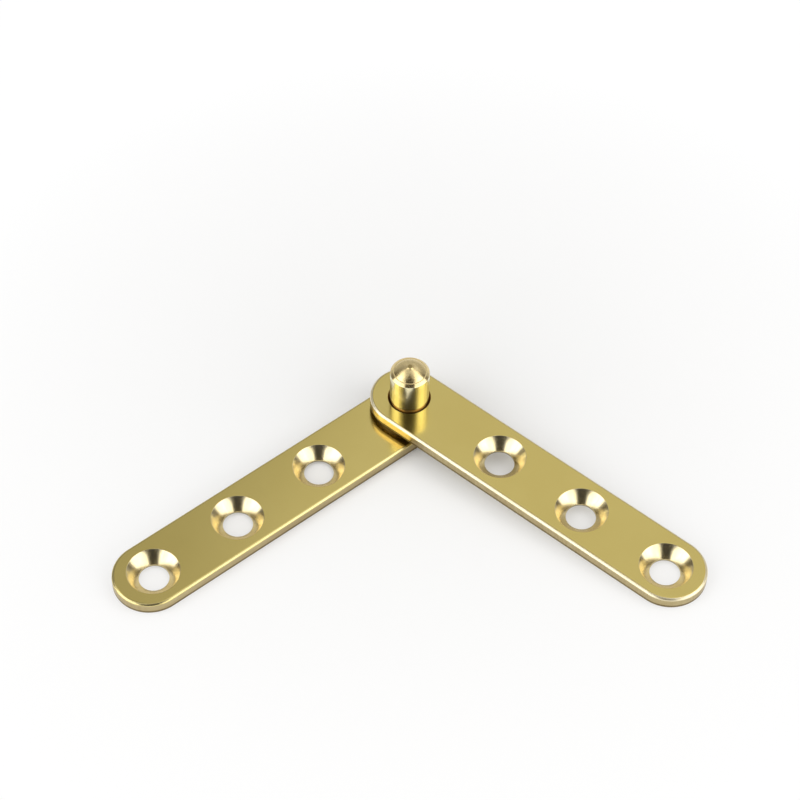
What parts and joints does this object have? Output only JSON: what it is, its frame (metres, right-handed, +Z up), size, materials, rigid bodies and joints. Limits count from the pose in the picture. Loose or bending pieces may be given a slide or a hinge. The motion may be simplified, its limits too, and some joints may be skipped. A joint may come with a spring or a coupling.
{
  "type": "pivot hinge",
  "caption": "Straight brass pivot hinge: an upper leaf turns on, and lifts off, a domed pin riveted into the lower leaf; both leaves are countersunk for screws.",
  "frame": {"origin": "on the pivot axis, level with the underside of the lower leaf", "axes": "+Z up the pin; the lower leaf lies along -X; at rest the upper leaf points 101 degrees further round, counter-clockwise seen from above"},
  "size_m": [0.0693, 0.0596, 0.0121],
  "materials": {
    "leaf_brass": "tumbled and polished, satin to semi-gloss, with bright rounded edges",
    "pin_brass": "turned and polished",
    "washer_brass": "plain rolled sheet, dull"
  },
  "bodies": {
    "lower_leaf": {"lower_leaf": "leaf_brass", "pivot_pin": "pin_brass"},
    "washer": {"washer": "washer_brass"},
    "upper_leaf": {"upper_leaf": "leaf_brass"}
  },
  "joints": [
    {"name": "swing", "type": "hinge", "parent": "lower_leaf", "child": "washer", "pos_m": [0, 0, 0.002], "axis": [0, 0, 1], "continuous": true},
    {"name": "lift_off", "type": "slide", "parent": "washer", "child": "upper_leaf", "axis": [0, 0, 1], "range_m": [0, 0.0095]}
  ]
}
